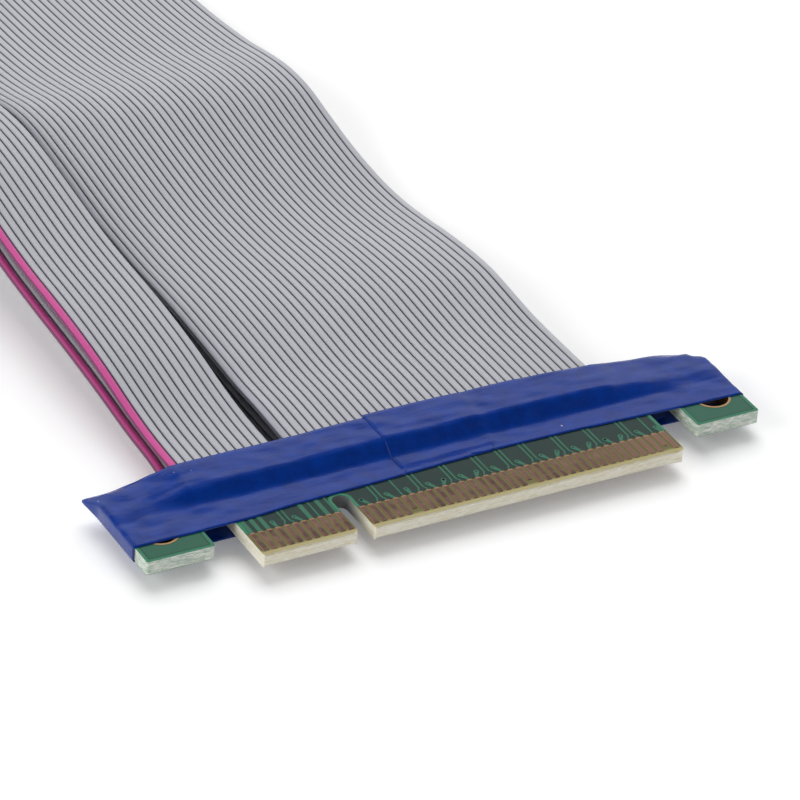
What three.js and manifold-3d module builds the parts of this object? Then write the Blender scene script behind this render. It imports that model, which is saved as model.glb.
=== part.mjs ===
// A flexible riser for an eight-lane expansion card: a card-edge board, two layers of flat
// ribbon cable, and a small board with a card slot on the far end, each joint wound in tape.
// Millimetres. X runs along the contacts, Y from the card edge to the slot, Z up.
// While the pieces are made, x = 0 is the middle of the key notch, y = 0 the rear ends of the
// edge contacts, and z = 0 the surface that the riser lies on.

import * as THREE from 'three';
import { mergeGeometries, mergeVertices } from 'three/addons/utils/BufferGeometryUtils.js';
import Module from 'manifold-3d';

const wasm = await Module();
wasm.setup();

// Contacts of the card edge and of the slot
const CONTACT_PITCH = 1.0;
const SHORT_TAB_CONTACTS = 11;
const LONG_TAB_CONTACTS = 38;
const KEY_TO_CONTACT = 1.5;
const FINGER_WIDTH = 0.62;
const FINGER_LENGTH = 3.4;
const FINGER_SETBACK = 0.7;
const PRESENCE_FINGER_LOSS = 0.8;
const PRESENCE_FINGERS_TOP = [16, 30, 47];
const PRESENCE_FINGERS_BOTTOM = [0];
const PAD_LIFT = 0.05;

// Circuit boards
const BOARD_THICKNESS = 1.57;
const BOARD_DEPTH = 16.3;
const TAB_END_MARGIN = 0.65;
const TAB_CHAMFER = 0.4;
const TAB_CORNER = 0.5;
const KEY_WIDTH = 1.9;
const KEY_DEPTH = 6.9;
const EAR_WIDTH = 7.9;
const EAR_GAP = 3.8;
const EAR_GAP_DEPTH = 9.4;
const EAR_GAP_CORNER = 1.0;
const EAR_SETBACK = 3.6;
const EAR_CORNER = 0.3;
const HOLE_DIAMETER = 3.8;
const HOLE_FROM_SIDE = 3.5;
const HOLE_FROM_FRONT = 4.25;
const RING_WIDTH = 0.25;
const SLOT_BOARD_DEPTH = 20;

// Ribbon cable
const WIRE_PITCH = 1.0;
const RIBBON_THICKNESS = 0.9;
const RIB_RELIEF = 0.22;
const NARROW_WIRES = 12;
const WIDE_WIRES = 38;
const NARROW_LEFT = -14.45;
const RIBBON_SPACING = 1.6;
const RIBBON_OVER_BOARD = 3.6;
const FREE_SPAN = 222.8;
const RISE_START = 18;
const RISE_END = 8;

// Solder joints of the wires, and of the slot's contacts under its board
const JOINT_WIDTH = 0.66;
const JOINT_LENGTH = 1.8;
const JOINT_HEIGHT = 0.7;
const JOINT_TO_RIBBON = 0.3;
const TAIL_JOINT_WIDTH = 0.9;
const TAIL_JOINT_HEIGHT = 1.0;
const TAIL_ROW_NEAR = 1.2;
const TAIL_ROW_FAR = 3.0;

// Tape
const TAPE_THICKNESS = 0.3;
const TAPE_WIDTH = 10.7;
const TAPE_PAST_BOARD = 1.0;
const TAPE_LAP_STEP = 0.15;
const TAPE_LAP_FROM_KEY = 8.2;
const TAPE_LAP_LENGTH = 12;
const TAPE_SHOULDER = 1.0;
const FIT = 0.1;

// Card slot
const SLOT_END_WALL = 2.3;
const SLOT_WIDTH = 7.5;
const SLOT_HEIGHT = 11.25;
const SLOT_FROM_REAR = 6;
const SLOT_KEY_WALL = 1.55;
const CARD_ROOM = 0.2;
const CARD_DEPTH = 8.25;
const SLOT_LEAD_IN = 0.6;
const SLOT_EDGE_BREAK = 0.4;
const SPRING_WIDTH = 0.5;
const SPRING_PROUD = 0.3;
const SPRING_HEIGHT = 6;
const PEG_DIAMETER = 2.0;
const PEG_ROOM = 0.1;
const PEG_FROM_END = 1.2;
const SEAT = 0.05;

// Levels, from the tape's underside up
const boardBottom = TAPE_THICKNESS + FIT + RIBBON_THICKNESS + FIT;
const boardTop = boardBottom + BOARD_THICKNESS;
const lowerEntry = boardBottom - FIT - RIBBON_THICKNESS / 2;
const upperEntry = boardTop + FIT + RIBBON_THICKNESS / 2;

// Places along the contacts
const shortTabLeft = -(KEY_TO_CONTACT + (SHORT_TAB_CONTACTS - 1) * CONTACT_PITCH + TAB_END_MARGIN);
const longTabRight = KEY_TO_CONTACT + (LONG_TAB_CONTACTS - 1) * CONTACT_PITCH + TAB_END_MARGIN;
const leftEarRight = shortTabLeft - EAR_GAP;
const rightEarLeft = longTabRight + EAR_GAP;
const boardLeft = leftEarRight - EAR_WIDTH;
const boardRight = rightEarLeft + EAR_WIDTH;
const narrowRight = NARROW_LEFT + NARROW_WIRES * WIRE_PITCH;
const wideLeft = narrowRight + RIBBON_SPACING;
const wideRight = wideLeft + WIDE_WIRES * WIRE_PITCH;

// Places from the card edge to the slot
const tabFront = -(FINGER_LENGTH + FINGER_SETBACK);
const earFront = tabFront + EAR_SETBACK;
const boardRear = tabFront + BOARD_DEPTH;
const edgeMouth = boardRear + TAPE_PAST_BOARD;
const slotMouth = edgeMouth + FREE_SPAN;
const slotBoardFront = slotMouth + TAPE_PAST_BOARD;
const slotBoardRear = slotBoardFront + SLOT_BOARD_DEPTH;
const slotMiddle = slotBoardRear - SLOT_FROM_REAR;
const ribbonStart = boardRear - RIBBON_OVER_BOARD;
const ribbonEnd = slotBoardFront + RIBBON_OVER_BOARD;
const jointInset = JOINT_TO_RIBBON + JOINT_LENGTH / 2;

// Boolean joins and cuts

function asSolid(geometry) {
  const bare = geometry.index ? geometry.toNonIndexed() : geometry.clone();
  bare.deleteAttribute('normal');
  bare.deleteAttribute('uv');
  const merged = mergeVertices(bare, 1e-4);
  return new wasm.Manifold(new wasm.Mesh({
    numProp: 3,
    vertProperties: new Float32Array(merged.attributes.position.array),
    triVerts: new Uint32Array(merged.index.array),
  }));
}

function asGeometry(solid) {
  const mesh = solid.getMesh();
  const geometry = new THREE.BufferGeometry();
  geometry.setAttribute('position', new THREE.BufferAttribute(new Float32Array(mesh.vertProperties), 3));
  geometry.setIndex(new THREE.BufferAttribute(new Uint32Array(mesh.triVerts), 1));
  geometry.computeVertexNormals();
  return geometry;
}

function manyAsSolid(geometries) {
  return asSolid(mergeGeometries(geometries.map((geometry) => geometry.toNonIndexed())));
}

// Shapes

// A closed outline from corners [x, y, radius], counter-clockwise, each corner rounded by an arc.
function roundedShape(corners) {
  const shape = new THREE.Shape();
  corners.forEach(([x, y, radius], i) => {
    const corner = new THREE.Vector2(x, y);
    const [beforeX, beforeY] = corners[(i + corners.length - 1) % corners.length];
    const [afterX, afterY] = corners[(i + 1) % corners.length];
    const incoming = corner.clone().sub(new THREE.Vector2(beforeX, beforeY)).normalize();
    const outgoing = new THREE.Vector2(afterX, afterY).sub(corner).normalize();
    const turn = Math.sign(incoming.cross(outgoing));
    const reach = radius * Math.tan(Math.acos(incoming.dot(outgoing)) / 2);
    const start = corner.clone().addScaledVector(incoming, -reach);
    const end = corner.clone().addScaledVector(outgoing, reach);
    const inward = new THREE.Vector2(-incoming.y, incoming.x).multiplyScalar(turn * radius);
    const centre = start.clone().add(inward);
    const from = Math.atan2(start.y - centre.y, start.x - centre.x);
    const to = Math.atan2(end.y - centre.y, end.x - centre.x);
    shape.absarc(centre.x, centre.y, radius, from, to, turn < 0);
  });
  return shape;
}

function roundHole(x, y, diameter) {
  const hole = new THREE.Path();
  hole.absarc(x, y, diameter / 2, 0, Math.PI, false);
  hole.absarc(x, y, diameter / 2, Math.PI, 2 * Math.PI, false);
  return hole;
}

function slab(shape, bottom, thickness) {
  const options = { depth: thickness, bevelEnabled: false, curveSegments: 4 };
  return new THREE.ExtrudeGeometry(shape, options).translate(0, 0, bottom);
}

// A box by its lowest and highest corner.
function block([x0, y0, z0], [x1, y1, z1]) {
  const box = new THREE.BoxGeometry(x1 - x0, y1 - y0, z1 - z0);
  return box.translate((x0 + x1) / 2, (y0 + y1) / 2, (z0 + z1) / 2);
}

// A bar along X with its edges up and down, which takes a chamfer of the given leg off an edge.
function chamferBar(x0, x1, y, z, leg) {
  const side = leg * Math.SQRT2;
  const bar = new THREE.BoxGeometry(x1 - x0, side, side);
  return bar.rotateX(Math.PI / 4).translate((x0 + x1) / 2, y, z);
}

// A four-sided solder joint on a board's face, pointing up (side = 1) or down (side = -1).
function solderJoint(x, y, face, side, width, length, height) {
  const sink = 0.1;
  const cone = new THREE.ConeGeometry(Math.SQRT1_2, height + sink, 4, 1);
  cone.rotateY(Math.PI / 4).scale(width, 1, length);
  return cone.rotateX(side * Math.PI / 2).translate(x, y, face + side * (height - sink) / 2);
}

// Positions that repeat

function contactPlaces() {
  const places = [];
  for (let i = 0; i < SHORT_TAB_CONTACTS; i += 1) {
    places.push(-KEY_TO_CONTACT - (SHORT_TAB_CONTACTS - 1 - i) * CONTACT_PITCH);
  }
  for (let i = 0; i < LONG_TAB_CONTACTS; i += 1) {
    places.push(KEY_TO_CONTACT + i * CONTACT_PITCH);
  }
  return places;
}

function wirePlaces() {
  const places = [];
  for (let i = 0; i < NARROW_WIRES; i += 1) places.push(NARROW_LEFT + (i + 0.5) * WIRE_PITCH);
  for (let i = 0; i < WIDE_WIRES; i += 1) places.push(wideLeft + (i + 0.5) * WIRE_PITCH);
  return places;
}

const contacts = contactPlaces();
const wires = wirePlaces();

function wireJoints(y) {
  const joints = [];
  for (const x of wires) {
    joints.push(solderJoint(x, y, boardTop, 1, JOINT_WIDTH, JOINT_LENGTH, JOINT_HEIGHT));
    joints.push(solderJoint(x, y, boardBottom, -1, JOINT_WIDTH, JOINT_LENGTH, JOINT_HEIGHT));
  }
  return manyAsSolid(joints);
}

// Card-edge board: two tabs with contact fingers, a key notch, and two ears with plated holes

function edgeBoardShape() {
  const half = KEY_WIDTH / 2;
  const gapEnd = tabFront + EAR_GAP_DEPTH;
  const keyEnd = tabFront + KEY_DEPTH;
  const shape = roundedShape([
    [boardLeft, earFront, EAR_CORNER],
    [leftEarRight, earFront, EAR_CORNER],
    [leftEarRight, gapEnd, EAR_GAP_CORNER],
    [shortTabLeft, gapEnd, EAR_GAP_CORNER],
    [shortTabLeft, tabFront, EAR_CORNER],
    [-half, tabFront, TAB_CORNER],
    [-half, keyEnd, half * 0.99],
    [half, keyEnd, half * 0.99],
    [half, tabFront, EAR_CORNER],
    [longTabRight, tabFront, TAB_CORNER],
    [longTabRight, gapEnd, EAR_GAP_CORNER],
    [rightEarLeft, gapEnd, EAR_GAP_CORNER],
    [rightEarLeft, earFront, EAR_CORNER],
    [boardRight, earFront, EAR_CORNER],
    [boardRight, boardRear, EAR_CORNER],
    [boardLeft, boardRear, EAR_CORNER],
  ]);
  for (const x of [boardLeft + HOLE_FROM_SIDE, boardRight - HOLE_FROM_SIDE]) {
    shape.holes.push(roundHole(x, earFront + HOLE_FROM_FRONT, HOLE_DIAMETER));
  }
  return shape;
}

function platedRing(x, y) {
  const ring = new THREE.Shape();
  ring.absarc(x, y, HOLE_DIAMETER / 2 + RING_WIDTH, 0, 2 * Math.PI, false);
  ring.holes.push(roundHole(x, y, HOLE_DIAMETER));
  return slab(ring, boardBottom - PAD_LIFT, BOARD_THICKNESS + 2 * PAD_LIFT);
}

function fingers(face, side, presence) {
  return contacts.map((x, i) => {
    const length = FINGER_LENGTH - (presence.includes(i) ? PRESENCE_FINGER_LOSS : 0);
    const inside = face - side * PAD_LIFT;
    const outside = face + side * PAD_LIFT;
    return block(
      [x - FINGER_WIDTH / 2, -length, Math.min(inside, outside)],
      [x + FINGER_WIDTH / 2, 0, Math.max(inside, outside)],
    );
  });
}

function edgeBoard() {
  let board = asSolid(slab(edgeBoardShape(), boardBottom, BOARD_THICKNESS));
  for (const z of [boardBottom, boardTop]) {
    const bar = chamferBar(shortTabLeft - 1, longTabRight + 1, tabFront, z, TAB_CHAMFER);
    board = board.subtract(asSolid(bar));
  }
  for (const x of [boardLeft + HOLE_FROM_SIDE, boardRight - HOLE_FROM_SIDE]) {
    board = board.add(asSolid(platedRing(x, earFront + HOLE_FROM_FRONT)));
  }
  board = board.add(manyAsSolid(fingers(boardTop, 1, PRESENCE_FINGERS_TOP)));
  board = board.add(manyAsSolid(fingers(boardBottom, -1, PRESENCE_FINGERS_BOTTOM)));
  return asGeometry(board.add(wireJoints(ribbonStart - jointInset)));
}

// Slot board: a plain rectangle with two mounting holes and two holes for the slot's pegs

const slotLeft = shortTabLeft - SLOT_END_WALL;
const slotRight = longTabRight + SLOT_END_WALL;
const pegPlaces = [slotLeft + PEG_FROM_END, slotRight - PEG_FROM_END];

function slotBoard() {
  const shape = roundedShape([
    [boardLeft, slotBoardFront, EAR_CORNER],
    [boardRight, slotBoardFront, EAR_CORNER],
    [boardRight, slotBoardRear, EAR_CORNER],
    [boardLeft, slotBoardRear, EAR_CORNER],
  ]);
  for (const x of [boardLeft + HOLE_FROM_SIDE, boardRight - HOLE_FROM_SIDE]) {
    shape.holes.push(roundHole(x, slotMiddle, HOLE_DIAMETER));
  }
  for (const x of pegPlaces) {
    shape.holes.push(roundHole(x, slotMiddle, PEG_DIAMETER + 2 * PEG_ROOM));
  }
  let board = asSolid(slab(shape, boardBottom, BOARD_THICKNESS));
  for (const x of [boardLeft + HOLE_FROM_SIDE, boardRight - HOLE_FROM_SIDE]) {
    board = board.add(asSolid(platedRing(x, slotMiddle)));
  }
  const tails = [];
  contacts.forEach((x, i) => {
    const row = i % 2 === 0 ? TAIL_ROW_NEAR : TAIL_ROW_FAR;
    for (const side of [-1, 1]) {
      const y = slotMiddle + side * row;
      tails.push(solderJoint(x, y, boardBottom, -1, TAIL_JOINT_WIDTH, TAIL_JOINT_WIDTH, TAIL_JOINT_HEIGHT));
    }
  });
  board = board.add(manyAsSolid(tails));
  return asGeometry(board.add(wireJoints(ribbonEnd + jointInset)));
}

// Card slot: a moulded housing with spring contacts along both walls of its groove

function slotHousing() {
  const bottom = boardTop + SEAT;
  const top = bottom + SLOT_HEIGHT;
  const front = slotMiddle - SLOT_WIDTH / 2;
  const rear = slotMiddle + SLOT_WIDTH / 2;
  const halfGroove = (BOARD_THICKNESS + CARD_ROOM) / 2;
  const floor = top - CARD_DEPTH;
  const grooves = [
    [shortTabLeft - CARD_ROOM / 2, -SLOT_KEY_WALL / 2],
    [SLOT_KEY_WALL / 2, longTabRight + CARD_ROOM / 2],
  ];
  let housing = asSolid(block([slotLeft, front, bottom], [slotRight, rear, top]));
  for (const [from, to] of grooves) {
    const groove = block([from, slotMiddle - halfGroove, floor], [to, slotMiddle + halfGroove, top + 1]);
    housing = housing.subtract(asSolid(groove));
    for (const side of [-1, 1]) {
      const bar = chamferBar(from, to, slotMiddle + side * halfGroove, top, SLOT_LEAD_IN);
      housing = housing.subtract(asSolid(bar));
    }
  }
  for (const y of [front, rear]) {
    housing = housing.subtract(asSolid(chamferBar(slotLeft - 1, slotRight + 1, y, top, SLOT_EDGE_BREAK)));
  }
  const springs = [];
  const sink = 0.2;
  for (const x of contacts) {
    for (const side of [-1, 1]) {
      const wall = slotMiddle + side * (halfGroove + sink);
      const tip = slotMiddle + side * (halfGroove - SPRING_PROUD);
      springs.push(block(
        [x - SPRING_WIDTH / 2, Math.min(wall, tip), floor - sink],
        [x + SPRING_WIDTH / 2, Math.max(wall, tip), floor + SPRING_HEIGHT],
      ));
    }
  }
  housing = housing.add(manyAsSolid(springs));
  for (const x of pegPlaces) {
    const length = bottom + 1;
    const peg = new THREE.CylinderGeometry(PEG_DIAMETER / 2, PEG_DIAMETER / 2, length, 16);
    housing = housing.add(asSolid(peg.rotateX(Math.PI / 2).translate(x, slotMiddle, length / 2)));
  }
  return asGeometry(housing);
}

// Tape: a sleeve wound round a board and over the ends of its ribbons

// A sleeve from matching loops of points round its outside and inside, station by station.
function sleeve(outerLoops, innerLoops) {
  const count = outerLoops[0].length;
  const stations = outerLoops.length;
  const points = [...outerLoops.flat(), ...innerLoops.flat()];
  const outer = (station, i) => station * count + (i % count);
  const inner = (station, i) => stations * count + outer(station, i);
  const triangles = [];
  const quad = (a, b, c, d) => triangles.push(a, b, c, a, c, d);
  for (let i = 0; i < count; i += 1) {
    for (let s = 0; s < stations - 1; s += 1) {
      quad(outer(s, i), outer(s + 1, i), outer(s + 1, i + 1), outer(s, i + 1));
      quad(inner(s, i), inner(s, i + 1), inner(s + 1, i + 1), inner(s + 1, i));
    }
    const last = stations - 1;
    quad(outer(0, i), outer(0, i + 1), inner(0, i + 1), inner(0, i));
    quad(outer(last, i), inner(last, i), inner(last, i + 1), outer(last, i + 1));
  }
  const geometry = new THREE.BufferGeometry();
  geometry.setAttribute('position', new THREE.Float32BufferAttribute(points.flat(), 3));
  geometry.setIndex(triangles);
  geometry.computeVertexNormals();
  return geometry;
}

// One winding, from its mouth on the ribbons towards the bare part of the board (direction 1 or -1).
function tapeWinding(mouth, direction) {
  const ribbonRise = RIBBON_THICKNESS + FIT;
  const rampStart = TAPE_PAST_BOARD + RIBBON_OVER_BOARD + JOINT_TO_RIBBON;
  const rampEnd = rampStart + JOINT_LENGTH + 2;
  const stations = [0, TAPE_PAST_BOARD * 0.9, rampStart];
  for (let i = 1; i <= 4; i += 1) stations.push(rampStart + (rampEnd - rampStart) * i / 4);
  stations.push(TAPE_WIDTH);
  const left = boardLeft - FIT;
  const right = boardRight + FIT;
  const lapEnd = TAPE_LAP_FROM_KEY + TAPE_LAP_LENGTH;
  const places = [
    [left, 0, 0],
    [NARROW_LEFT - FIT - TAPE_SHOULDER, 0, 0],
    [NARROW_LEFT - FIT, 1, 0],
    [TAPE_LAP_FROM_KEY, 1, 0],
    [TAPE_LAP_FROM_KEY + TAPE_LAP_STEP, 1, 1],
    [lapEnd, 1, 1],
    [lapEnd + TAPE_LAP_STEP, 1, 0],
    [wideRight + FIT, 1, 0],
    [wideRight + FIT + TAPE_SHOULDER, 0, 0],
    [right, 0, 0],
  ];
  const middle = (boardBottom + boardTop) / 2;
  const loops = (wall) => stations.map((distance) => {
    const y = mouth + direction * distance;
    const lift = ribbonRise * (1 - THREE.MathUtils.smoothstep(distance, rampStart, rampEnd));
    const half = (over) => {
      const pinched = distance === 0 && over === 0;
      return (pinched ? FIT : BOARD_THICKNESS / 2 + FIT + lift * over) + wall;
    };
    const outward = (x) => (x === left ? -wall : x === right ? wall : 0);
    const lapHeight = wall > 0 ? TAPE_LAP_STEP : 0;
    const upper = places.map(([x, over, lap]) => [x + outward(x), y, middle + half(over) + lap * lapHeight]);
    const lower = places.map(([x, over]) => [x + outward(x), y, middle - half(over)]).reverse();
    return direction < 0 ? [...upper, ...lower] : [...upper, ...lower].reverse();
  });
  return sleeve(loops(TAPE_THICKNESS), loops(0));
}

// Ribbons

// Each route is a list of [y, height of the middle at the right edge, and at the left edge].
const upperWideRoute = [
  [ribbonStart, upperEntry, upperEntry],
  [edgeMouth, upperEntry, upperEntry],
  [20, 3.45, 3.8],
  [25, 3.5, 3.8],
  [30, 3.9, 4.1],
  [35, 4.3, 4.4],
  [40, 4.05, 4.65],
  [45, 3.5, 4.7],
  [50, 2.75, 4.7],
  [55, 2.15, 4.9],
  [60, 2.0, 5.2],
  [65, 2.3, 5.8],
  [70, 2.95, 6.5],
  [75, 3.9, 7.1],
  [80, 4.9, 7.5],
  [85, 5.0, 7.1],
  [90, 4.35, 5.9],
  [95, 3.4, 4.9],
  [100, 2.75, 4.2],
  [106, 2.15, 3.65],
  [113, 1.75, 3.3],
  [122, 1.55, 2.9],
  [134, 1.5, 2.3],
  [150, 1.5, 1.7],
  [175, 1.5, 1.5],
  [200, 1.5, 1.5],
  [slotMouth - RISE_START, 1.6, 1.6],
  [slotMouth - RISE_END, 2.6, 2.6],
  [slotMouth, upperEntry, upperEntry],
  [ribbonEnd, upperEntry, upperEntry],
];

const upperNarrowRoute = [
  [ribbonStart, upperEntry, upperEntry],
  [edgeMouth, upperEntry, upperEntry],
  [20, 3.75, 3.75],
  [25, 4.35, 4.4],
  [30, 5.2, 5.3],
  [35, 5.85, 6.0],
  [40, 6.3, 6.5],
  [45, 6.55, 6.85],
  [50, 6.75, 7.1],
  [55, 7.1, 7.6],
  [60, 7.75, 8.3],
  [65, 8.45, 9.1],
  [70, 9.1, 9.8],
  [76, 9.5, 10.1],
  [82, 9.1, 9.6],
  [88, 7.9, 8.2],
  [95, 6.2, 6.4],
  [103, 4.8, 4.9],
  [112, 3.7, 3.7],
  [122, 2.9, 2.9],
  [134, 2.2, 2.2],
  [150, 1.65, 1.65],
  [175, 1.5, 1.5],
  [200, 1.5, 1.5],
  [slotMouth - RISE_START, 1.6, 1.6],
  [slotMouth - RISE_END, 2.6, 2.6],
  [slotMouth, upperEntry, upperEntry],
  [ribbonEnd, upperEntry, upperEntry],
];

const lowerWideRoute = [
  [ribbonStart, lowerEntry, lowerEntry],
  [edgeMouth, lowerEntry, lowerEntry],
  [20, 0.7, 0.7],
  [27, 0.8, 0.8],
  [35, 1.2, 1.4],
  [43, 1.3, 2.1],
  [50, 1.05, 2.7],
  [57, 0.85, 3.5],
  [65, 1.05, 4.5],
  [72, 1.9, 5.5],
  [80, 3.5, 6.2],
  [86, 3.7, 5.8],
  [92, 2.8, 4.4],
  [99, 1.7, 3.1],
  [107, 1.0, 2.4],
  [116, 0.6, 1.9],
  [134, 0.5, 1.2],
  [150, 0.5, 0.6],
  [175, 0.5, 0.5],
  [slotMouth - RISE_START, 0.5, 0.5],
  [slotMouth - RISE_END, 0.6, 0.6],
  [slotMouth, lowerEntry, lowerEntry],
  [ribbonEnd, lowerEntry, lowerEntry],
];

const lowerNarrowRoute = [
  [ribbonStart, lowerEntry, lowerEntry],
  [edgeMouth, lowerEntry, lowerEntry],
  [18, 1.5, 1.55],
  [24, 1.9, 1.95],
  [31, 2.65, 2.75],
  [39, 3.25, 3.45],
  [48, 3.6, 4.0],
  [57, 4.4, 4.8],
  [65, 5.9, 6.3],
  [72, 7.2, 7.7],
  [78, 7.8, 8.3],
  [84, 7.4, 7.8],
  [90, 6.1, 6.4],
  [97, 4.5, 4.7],
  [106, 3.2, 3.2],
  [116, 2.2, 2.2],
  [134, 1.1, 1.1],
  [150, 0.6, 0.6],
  [175, 0.5, 0.5],
  [slotMouth - RISE_START, 0.5, 0.5],
  [slotMouth - RISE_END, 0.6, 0.6],
  [slotMouth, lowerEntry, lowerEntry],
  [ribbonEnd, lowerEntry, lowerEntry],
];

// The cross-section of a ribbon: a strip with a rib for each wire on its upper side, or a plain one.
function ribbonSection(left, wireCount, ribbed) {
  const half = RIBBON_THICKNESS / 2;
  const right = left + wireCount * WIRE_PITCH;
  const corner = half * 0.6;
  const shape = new THREE.Shape();
  shape.moveTo(left, -half + corner);
  shape.lineTo(left + corner, -half);
  shape.lineTo(right - corner, -half);
  shape.lineTo(right, -half + corner);
  if (ribbed) {
    for (let i = wireCount - 1; i >= 0; i -= 1) {
      const rib = left + (i + 0.5) * WIRE_PITCH;
      shape.lineTo(rib + WIRE_PITCH / 2, half - RIB_RELIEF);
      shape.lineTo(rib, half);
    }
    shape.lineTo(left, half - RIB_RELIEF);
  } else {
    shape.lineTo(right, half - corner);
    shape.lineTo(right - corner, half);
    shape.lineTo(left + corner, half);
    shape.lineTo(left, half - corner);
  }
  return shape;
}

function ribbon(left, wireCount, route, ribbed) {
  const steps = route.length - 1;
  const width = wireCount * WIRE_PITCH;
  const options = { depth: 1, steps, bevelEnabled: false };
  const strip = new THREE.ExtrudeGeometry(ribbonSection(left, wireCount, ribbed), options);
  strip.rotateX(Math.PI / 2);
  const position = strip.attributes.position;
  for (let i = 0; i < position.count; i += 1) {
    const x = position.getX(i);
    const share = (left + width - x) / width;
    const station = Math.round((1 + position.getY(i)) * steps);
    const middle = ([y, right, far]) => new THREE.Vector2(y, THREE.MathUtils.lerp(right, far, share));
    const here = middle(route[station]);
    const before = middle(route[Math.max(station - 1, 0)]);
    const after = middle(route[Math.min(station + 1, steps)]);
    const along = after.sub(before).normalize();
    const height = position.getZ(i);
    position.setY(i, here.x - along.y * height);
    position.setZ(i, here.y + along.x * height);
  }
  strip.computeVertexNormals();
  return strip;
}

// Finishes

const finish = (color, roughness, metalness = 0) => (
  new THREE.MeshStandardMaterial({ color, roughness, metalness })
);
const boardGreen = finish(0x3c6a5a, 0.45);
const tapeBlue = finish(0x2a449c, 0.35);
const ribbonGrey = finish(0xb2b2ba, 0.5);
const slotBlack = finish(0x1c1c1f, 0.5);

// The riser

const riser = new THREE.Group();

function add(name, geometry, material) {
  const mesh = new THREE.Mesh(geometry, material);
  mesh.name = name;
  riser.add(mesh);
}

add('edge_board', edgeBoard(), boardGreen);
add('edge_tape', tapeWinding(edgeMouth, -1), tapeBlue);
add('upper_narrow_ribbon', ribbon(NARROW_LEFT, NARROW_WIRES, upperNarrowRoute, true), ribbonGrey);
add('upper_wide_ribbon', ribbon(wideLeft, WIDE_WIRES, upperWideRoute, true), ribbonGrey);
add('lower_narrow_ribbon', ribbon(NARROW_LEFT, NARROW_WIRES, lowerNarrowRoute, false), ribbonGrey);
add('lower_wide_ribbon', ribbon(wideLeft, WIDE_WIRES, lowerWideRoute, false), ribbonGrey);
add('slot_board', slotBoard(), boardGreen);
add('slot_housing', slotHousing(), slotBlack);
add('slot_tape', tapeWinding(slotMouth, 1), tapeBlue);

// The finished riser's origin is under its middle.
riser.position.set(-(boardLeft + boardRight) / 2, -(tabFront + slotBoardRear) / 2, 0);

export default riser;
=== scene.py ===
# %% [markdown]
# # A ribbon riser, dressed for a photograph
# A riser carries the contacts of an expansion slot to a card that stands elsewhere. This one
# is a small card-edge board, two layers of flat grey ribbon cable, and a board with a card
# slot, with blue tape wound round each joint. The CAD model gives the frame: its places and
# sizes are final, and the pieces made here are fitted over it. Work starts by loading it.

import math

import bmesh
import bpy
import numpy as np
from mathutils import Matrix, Vector, noise


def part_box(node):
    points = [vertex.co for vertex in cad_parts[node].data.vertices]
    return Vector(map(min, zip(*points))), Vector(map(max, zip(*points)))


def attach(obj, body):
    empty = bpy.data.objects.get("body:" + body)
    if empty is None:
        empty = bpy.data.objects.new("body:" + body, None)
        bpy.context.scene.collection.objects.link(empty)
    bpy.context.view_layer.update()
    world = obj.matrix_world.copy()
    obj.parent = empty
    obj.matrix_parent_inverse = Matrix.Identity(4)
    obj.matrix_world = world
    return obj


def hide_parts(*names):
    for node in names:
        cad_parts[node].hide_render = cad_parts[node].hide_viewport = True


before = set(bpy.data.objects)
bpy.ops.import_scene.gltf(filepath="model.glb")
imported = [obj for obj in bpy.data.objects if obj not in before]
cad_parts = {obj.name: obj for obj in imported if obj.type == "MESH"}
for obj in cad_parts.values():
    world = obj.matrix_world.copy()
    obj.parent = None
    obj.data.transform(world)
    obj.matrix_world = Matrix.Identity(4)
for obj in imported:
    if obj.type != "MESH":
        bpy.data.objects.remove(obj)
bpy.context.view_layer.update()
print("CAD nodes:", sorted(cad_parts))

# %% [markdown]
# A board is measured from its key notch and its contacts, so the pieces are made in
# millimetres from there: x = 0 is the middle of the notch, y = 0 the rear ends of the
# contacts, z = 0 the floor. One matrix takes them to the frame, and one function does that,
# gives a piece its finish and makes it ride on the riser's only body.

# %% Millimetres from the key notch
MM = 0.001
KEY_FROM_SIDE = 23.85
CONTACTS_FROM_FRONT = 4.1
board_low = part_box("edge_board")[0] / MM
key_origin = Vector((board_low.x + KEY_FROM_SIDE, board_low.y + CONTACTS_FROM_FRONT, 0))
to_frame = Matrix.Scale(MM, 4) @ Matrix.Translation(key_origin)


def settle(bm, name, materials, smooth=False, replaces=()):
    """Turns a bmesh in millimetres into a finished piece of the riser."""
    bmesh.ops.transform(bm, matrix=to_frame, verts=bm.verts)
    mesh = bpy.data.meshes.new(name)
    bm.to_mesh(mesh)
    bm.free()
    for material in materials:
        mesh.materials.append(material)
    mesh.polygons.foreach_set("use_smooth", [smooth] * len(mesh.polygons))
    piece = bpy.data.objects.new(name, mesh)
    bpy.context.scene.collection.objects.link(piece)
    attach(piece, "root")
    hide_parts(*replaces)
    print(name, len(mesh.polygons), "faces")
    return piece


print("key notch in mm:", [round(side, 2) for side in key_origin])

# %% [markdown]
# The camera stands to the left of the card edge and looks down across it through a long
# lens. It could be moved by eye until the view looks right, but the contacts are exactly
# 1 mm apart, so it was solved from them instead. It is given by where it stands, where it
# looks and how far it is rolled.

# %% Camera
EYE = Vector((-205.57, -351.26, 275.16))
LOOKS_ALONG = Vector((0.4345, 0.7241, -0.5356))
ROLL = math.radians(4.39)
LENS = 209.4
SENSOR = 36

camera_data = bpy.data.cameras.new("camera")
camera_data.lens = LENS
camera_data.sensor_width = SENSOR
camera = bpy.data.objects.new("camera", camera_data)
bpy.context.scene.collection.objects.link(camera)
turned = LOOKS_ALONG.to_track_quat("-Z", "Y").to_matrix() @ Matrix.Rotation(ROLL, 3, "Z")
camera.matrix_world = Matrix.Translation(to_frame @ EYE) @ turned.to_4x4()
bpy.context.scene.camera = camera
print("camera at", [round(side, 4) for side in camera.location])

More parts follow.
